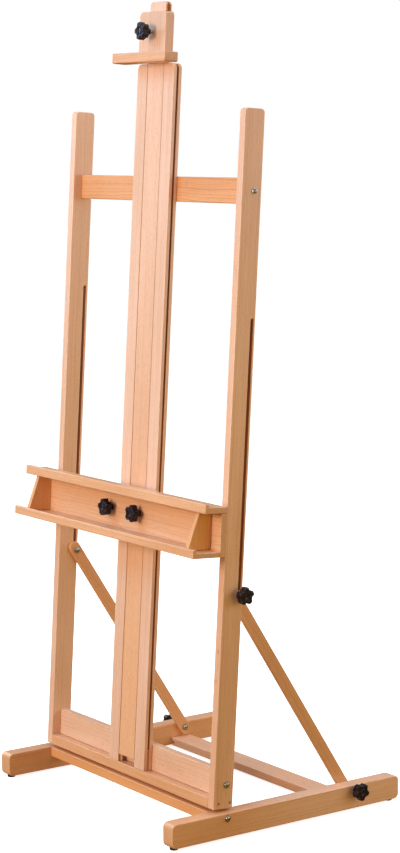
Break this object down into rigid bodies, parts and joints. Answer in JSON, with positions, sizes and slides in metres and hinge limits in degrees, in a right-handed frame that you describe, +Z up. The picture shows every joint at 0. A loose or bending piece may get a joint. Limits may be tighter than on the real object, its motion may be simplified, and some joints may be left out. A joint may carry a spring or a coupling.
{
  "type": "artist easel",
  "caption": "Floor-standing beech H-frame studio easel that tilts and folds on a square base, with a telescoping mast, a sliding tray with a canvas ledge, and a top canvas holder.",
  "frame": {"origin": "middle of the base on the floor", "axes": "+X to the easel's right as seen from the front, +Y to the back, +Z up; the front of the tray faces -Y"},
  "size_m": [0.67, 0.55, 1.5727],
  "materials": {
    "left_foot": "oiled beech, clear satin lacquer",
    "right_foot": "oiled beech, clear satin lacquer",
    "base_front_rail": "oiled beech, clear satin lacquer",
    "base_rear_rail": "oiled beech, clear satin lacquer",
    "front_left_pad": "matt moulded rubber",
    "front_right_pad": "matt moulded rubber",
    "rear_left_pad": "matt moulded rubber",
    "rear_right_pad": "matt moulded rubber",
    "left_base_bolt": "nickel plated",
    "right_base_bolt": "nickel plated",
    "left_rear_rail_screw": "nickel plated",
    "right_rear_rail_screw": "nickel plated",
    "left_hinge_lower_leaf": "nickel plated",
    "right_hinge_lower_leaf": "nickel plated",
    "left_pivot_bolt": "nickel plated",
    "right_pivot_bolt": "nickel plated",
    "left_post": "oiled beech, clear satin lacquer",
    "right_post": "oiled beech, clear satin lacquer",
    "upper_crossbar": "oiled beech, clear satin lacquer",
    "bottom_panel": "oiled beech, clear satin lacquer",
    "frame_bottom_rail": "oiled beech, clear satin lacquer",
    "left_mast_rail": "oiled beech, clear satin lacquer",
    "right_mast_rail": "oiled beech, clear satin lacquer",
    "left_crossbar_bolt": "nickel plated",
    "right_crossbar_bolt": "nickel plated",
    "left_panel_bolt": "nickel plated",
    "right_panel_bolt": "nickel plated",
    "front_left_dowel": "end grain, clear satin lacquer",
    "front_right_dowel": "end grain, clear satin lacquer",
    "rear_left_dowel": "end grain, clear satin lacquer",
    "rear_right_dowel": "end grain, clear satin lacquer",
    "left_hinge_upper_leaf": "nickel plated",
    "right_hinge_upper_leaf": "nickel plated",
    "inner_mast": "oiled beech, clear satin lacquer",
    "holder_block": "oiled beech, clear satin lacquer",
    "holder_bar": "oiled beech, clear satin lacquer",
    "tray_ledge": "oiled beech, clear satin lacquer",
    "tray_back_panel": "oiled beech, clear satin lacquer",
    "tray_floor": "oiled beech, clear satin lacquer",
    "tray_left_end": "oiled beech, clear satin lacquer",
    "tray_right_end": "oiled beech, clear satin lacquer",
    "tray_clamp_block": "oiled beech, clear satin lacquer",
    "left_brace": "oiled beech, clear satin lacquer",
    "left_brace_bolt": "nickel plated",
    "right_brace": "oiled beech, clear satin lacquer",
    "right_brace_bolt": "nickel plated",
    "left_slot_bolt": "nickel plated",
    "right_slot_bolt": "nickel plated",
    "holder_knob": "satin moulded black",
    "holder_stud": "zinc-plated thread",
    "tray_left_knob": "satin moulded black",
    "tray_left_stud": "zinc-plated thread",
    "tray_right_knob": "satin moulded black",
    "tray_right_stud": "zinc-plated thread",
    "mast_knob": "satin moulded black",
    "mast_stud": "zinc-plated thread",
    "left_slot_knob": "satin moulded black",
    "right_slot_knob": "satin moulded black",
    "left_foot_knob": "satin moulded black",
    "right_foot_knob": "satin moulded black"
  },
  "bodies": {
    "base": {"left_foot": "left_foot", "right_foot": "right_foot", "base_front_rail": "base_front_rail", "base_rear_rail": "base_rear_rail", "front_left_pad": "front_left_pad", "front_right_pad": "front_right_pad", "rear_left_pad": "rear_left_pad", "rear_right_pad": "rear_right_pad", "left_base_bolt": "left_base_bolt", "right_base_bolt": "right_base_bolt", "left_rear_rail_screw": "left_rear_rail_screw", "right_rear_rail_screw": "right_rear_rail_screw", "left_hinge_lower_leaf": "left_hinge_lower_leaf", "right_hinge_lower_leaf": "right_hinge_lower_leaf", "left_pivot_bolt": "left_pivot_bolt", "right_pivot_bolt": "right_pivot_bolt"},
    "frame": {"left_post": "left_post", "right_post": "right_post", "upper_crossbar": "upper_crossbar", "bottom_panel": "bottom_panel", "frame_bottom_rail": "frame_bottom_rail", "left_mast_rail": "left_mast_rail", "right_mast_rail": "right_mast_rail", "left_crossbar_bolt": "left_crossbar_bolt", "right_crossbar_bolt": "right_crossbar_bolt", "left_panel_bolt": "left_panel_bolt", "right_panel_bolt": "right_panel_bolt", "front_left_dowel": "front_left_dowel", "front_right_dowel": "front_right_dowel", "rear_left_dowel": "rear_left_dowel", "rear_right_dowel": "rear_right_dowel", "left_hinge_upper_leaf": "left_hinge_upper_leaf", "right_hinge_upper_leaf": "right_hinge_upper_leaf"},
    "inner_mast": {"inner_mast": "inner_mast"},
    "holder": {"holder_block": "holder_block", "holder_bar": "holder_bar"},
    "tray": {"tray_ledge": "tray_ledge", "tray_back_panel": "tray_back_panel", "tray_floor": "tray_floor", "tray_left_end": "tray_left_end", "tray_right_end": "tray_right_end", "tray_clamp_block": "tray_clamp_block"},
    "left_brace": {"left_brace": "left_brace", "left_brace_bolt": "left_brace_bolt"},
    "right_brace": {"right_brace": "right_brace", "right_brace_bolt": "right_brace_bolt"},
    "left_slot_bolt": {"left_slot_bolt": "left_slot_bolt"},
    "right_slot_bolt": {"right_slot_bolt": "right_slot_bolt"},
    "holder_knob": {"holder_knob": "holder_knob", "holder_stud": "holder_stud"},
    "tray_left_knob": {"tray_left_knob": "tray_left_knob", "tray_left_stud": "tray_left_stud"},
    "tray_right_knob": {"tray_right_knob": "tray_right_knob", "tray_right_stud": "tray_right_stud"},
    "mast_knob": {"mast_knob": "mast_knob", "mast_stud": "mast_stud"},
    "left_slot_knob": {"left_slot_knob": "left_slot_knob"},
    "right_slot_knob": {"right_slot_knob": "right_slot_knob"},
    "left_foot_knob": {"left_foot_knob": "left_foot_knob"},
    "right_foot_knob": {"right_foot_knob": "right_foot_knob"}
  },
  "joints": [
    {"name": "frame_tilt", "type": "hinge", "parent": "base", "child": "frame", "pos_m": [0, -0.1205, 0.0538], "axis": [-1, 0, 0], "range_deg": [-1.8, 86.5]},
    {"name": "left_brace_swing", "type": "hinge", "parent": "base", "child": "left_brace", "pos_m": [-0.273, 0.163, 0.042], "axis": [-1, 0, 0], "range_deg": [-2.59, 119.97]},
    {"name": "right_brace_swing", "type": "hinge", "parent": "base", "child": "right_brace", "pos_m": [0.273, 0.163, 0.042], "axis": [-1, 0, 0], "range_deg": [-2.59, 119.97]},
    {"name": "left_slot_slide", "type": "slide", "parent": "frame", "child": "left_slot_bolt", "axis": [0, 0.061, 0.9981], "range_m": [-0.008, 0.3751]},
    {"name": "right_slot_slide", "type": "slide", "parent": "frame", "child": "right_slot_bolt", "axis": [0, 0.061, 0.9981], "range_m": [-0.008, 0.3751]},
    {"name": "mast_slide", "type": "slide", "parent": "frame", "child": "inner_mast", "axis": [0, 0.061, 0.9981], "range_m": [0, 0.7]},
    {"name": "holder_slide", "type": "slide", "parent": "inner_mast", "child": "holder", "axis": [0, 0.061, 0.9981], "range_m": [-0.018, 0.019]},
    {"name": "tray_slide", "type": "slide", "parent": "frame", "child": "tray", "axis": [0, 0.061, 0.9981], "range_m": [-0.4, 0.78]},
    {"name": "holder_knob_turn", "type": "hinge", "parent": "holder", "child": "holder_knob", "pos_m": [0, -0.10156, 1.51497], "axis": [0, -0.9981, 0.061], "range_deg": [0, 450]},
    {"name": "tray_left_knob_turn", "type": "hinge", "parent": "tray", "child": "tray_left_knob", "pos_m": [-0.048, -0.1661, 0.59088], "axis": [0, -0.9981, 0.061], "range_deg": [0, 450]},
    {"name": "tray_right_knob_turn", "type": "hinge", "parent": "tray", "child": "tray_right_knob", "pos_m": [0.048, -0.1661, 0.59088], "axis": [0, -0.9981, 0.061], "range_deg": [0, 450]},
    {"name": "mast_knob_turn", "type": "hinge", "parent": "frame", "child": "mast_knob", "pos_m": [0, -0.06346, 1.21408], "axis": [0, 0.9981, -0.061], "range_deg": [0, 450]},
    {"name": "left_slot_knob_turn", "type": "hinge", "parent": "left_slot_bolt", "child": "left_slot_knob", "pos_m": [-0.2978, -0.10941, 0.46449], "axis": [-1, 0, 0], "range_deg": [0, 450]},
    {"name": "right_slot_knob_turn", "type": "hinge", "parent": "right_slot_bolt", "child": "right_slot_knob", "pos_m": [0.2978, -0.10941, 0.46449], "axis": [1, 0, 0], "range_deg": [0, 450]},
    {"name": "left_foot_knob_turn", "type": "hinge", "parent": "base", "child": "left_foot_knob", "pos_m": [-0.3106, 0.163, 0.042], "axis": [-1, 0, 0], "range_deg": [0, 450]},
    {"name": "right_foot_knob_turn", "type": "hinge", "parent": "base", "child": "right_foot_knob", "pos_m": [0.3106, 0.163, 0.042], "axis": [1, 0, 0], "range_deg": [0, 450]}
  ],
  "couplings": [
    {"joint": "left_brace_swing", "follows": "frame_tilt", "ratio": 1.3858},
    {"joint": "right_brace_swing", "follows": "frame_tilt", "ratio": 1.3858},
    {"joint": "left_slot_slide", "follows": "frame_tilt", "m_per_rad": 0.24835},
    {"joint": "right_slot_slide", "follows": "frame_tilt", "m_per_rad": 0.24835}
  ]
}
